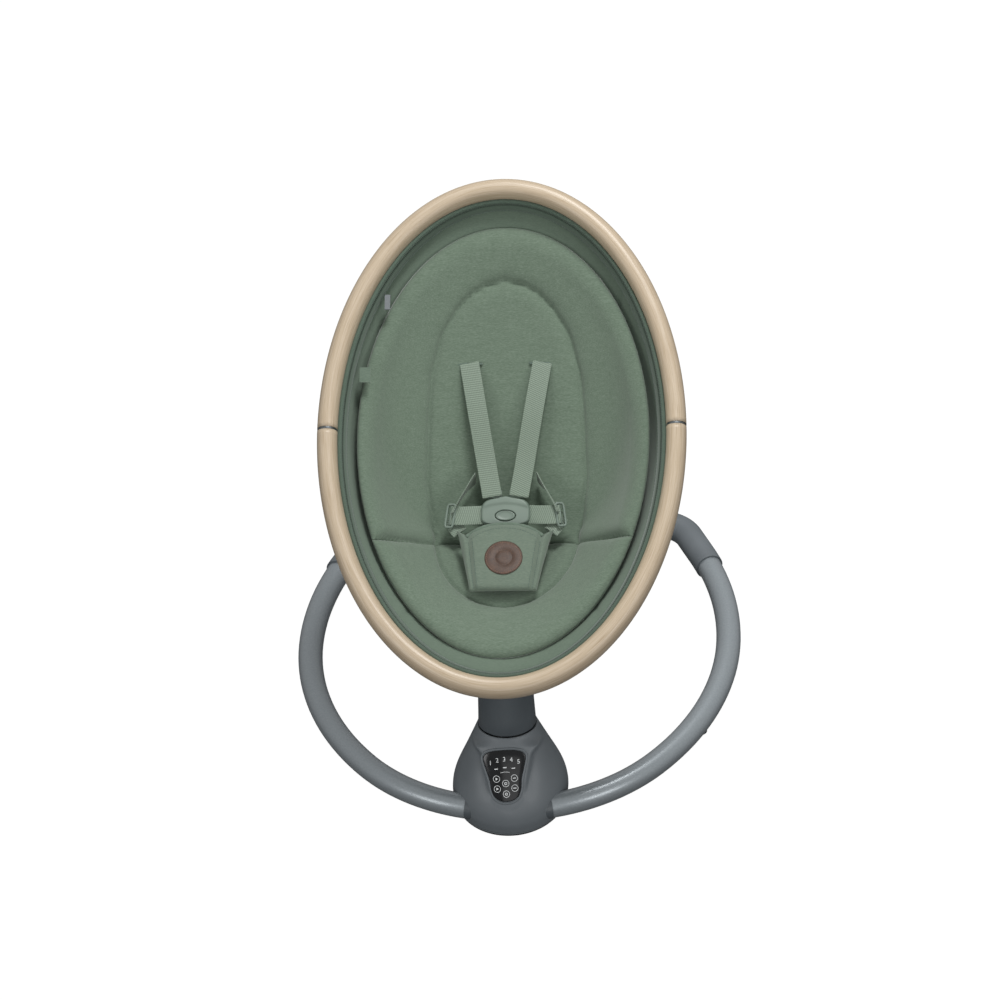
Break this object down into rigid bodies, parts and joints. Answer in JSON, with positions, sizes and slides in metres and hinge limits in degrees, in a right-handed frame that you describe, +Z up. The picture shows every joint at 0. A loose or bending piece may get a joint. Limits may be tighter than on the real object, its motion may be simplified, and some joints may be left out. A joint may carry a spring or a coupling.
{
  "type": "baby swing",
  "caption": "Electric baby swing with an oval reclining fabric seat, safety harness, leaning neck on a motor hub and a bent steel tube base.",
  "frame": {"origin": "on the floor, under the middle of the whole swing", "axes": "+Z up, +X to the seated child's left, +Y from the motor hub towards the head end"},
  "size_m": [0.5814, 0.6058, 0.6037],
  "materials": {
    "grey_plastic": "matte",
    "rubber": "matte",
    "black_gloss": "gloss",
    "circuit_board": "satin",
    "copper_coil": "satin",
    "grey_steel": "satin",
    "bright_steel": "satin",
    "rim_wood": "satin",
    "collar_metal": "satin",
    "seat_fabric": "matte",
    "inlay_fabric": "matte",
    "webbing": "matte",
    "green_plastic": "satin",
    "brown_leather": "satin"
  },
  "bodies": {
    "base": {"hub_housing": "grey_plastic", "hub_front_cover": "grey_plastic", "hub_base_plate": "grey_plastic", "hub_foot_ring": "rubber", "control_panel": "black_gloss", "control_board": "circuit_board", "speaker": "black_gloss", "power_socket": "black_gloss", "drive_coil": "copper_coil", "pivot_tower": "grey_plastic", "lower_bearing": "bright_steel", "upper_bearing": "bright_steel", "hub_screws": "bright_steel", "tube_socket_left": "grey_plastic", "tube_socket_right": "grey_plastic", "base_tube_left": "grey_steel", "base_tube_right": "grey_steel", "rear_elbow_left": "grey_plastic", "rear_elbow_right": "grey_plastic", "rear_cross_tube": "grey_steel", "elbow_foot_left": "rubber", "elbow_foot_right": "rubber", "tube_foot_left": "rubber", "tube_foot_right": "rubber"},
    "swing_arm": {"neck_shell": "grey_plastic", "swing_shaft": "bright_steel", "drive_magnet": "bright_steel", "magnet_arm": "grey_plastic", "hinge_tongue": "grey_plastic"},
    "seat": {"hinge_block": "grey_plastic", "hinge_pin": "bright_steel", "cradle_arm_left": "grey_steel", "cradle_arm_right": "grey_steel", "rim_saddle_left": "grey_plastic", "rim_saddle_right": "grey_plastic", "saddle_screws": "bright_steel", "rim_lower": "rim_wood", "rim_upper": "rim_wood", "rim_collar_left": "collar_metal", "rim_collar_right": "collar_metal", "seat_shell": "seat_fabric", "zip_band": "seat_fabric", "zip_pull": "collar_metal", "side_label": "webbing", "inlay_seat_pad": "inlay_fabric", "inlay_back_pad": "inlay_fabric", "shoulder_strap_left": "webbing", "shoulder_strap_right": "webbing", "waist_strap_left": "webbing", "waist_strap_right": "webbing", "buckle_tongues": "green_plastic", "buckle_body": "green_plastic", "crotch_strap": "webbing", "crotch_cover": "inlay_fabric", "leather_patch": "brown_leather"},
    "recline_button_left_body": {"recline_button_left": "grey_plastic"},
    "recline_button_right_body": {"recline_button_right": "grey_plastic"},
    "buckle_button_body": {"buckle_button": "green_plastic"},
    "adjuster_left_body": {"strap_adjuster_left": "green_plastic"},
    "adjuster_right_body": {"strap_adjuster_right": "green_plastic"}
  },
  "joints": [
    {"name": "swing", "type": "hinge", "parent": "base", "child": "swing_arm", "pos_m": [0, -0.204, 0.11], "axis": [0, 0.165, 0.9863], "range_deg": [-14, 14]},
    {"name": "seat_recline", "type": "hinge", "parent": "swing_arm", "child": "seat", "pos_m": [0, -0.187, 0.21159], "axis": [-1, 0, 0], "range_deg": [0, 30]},
    {"name": "recline_button_left_press", "type": "slide", "parent": "seat", "child": "recline_button_left_body", "axis": [1, 0, 0], "range_m": [0, 0.003], "stiffness_N_per_m": 800},
    {"name": "recline_button_right_press", "type": "slide", "parent": "seat", "child": "recline_button_right_body", "axis": [-1, 0, 0], "range_m": [0, 0.003], "stiffness_N_per_m": 800},
    {"name": "buckle_button_press", "type": "slide", "parent": "seat", "child": "buckle_button_body", "axis": [0, 0.5388, -0.8425], "range_m": [0, 0.002], "stiffness_N_per_m": 1200},
    {"name": "adjuster_left_slide", "type": "slide", "parent": "seat", "child": "adjuster_left_body", "axis": [-0.4105, -0.8052, -0.4279], "range_m": [-0.012, 0.006]},
    {"name": "adjuster_right_slide", "type": "slide", "parent": "seat", "child": "adjuster_right_body", "axis": [0.4105, -0.8052, -0.4279], "range_m": [-0.012, 0.006]}
  ]
}
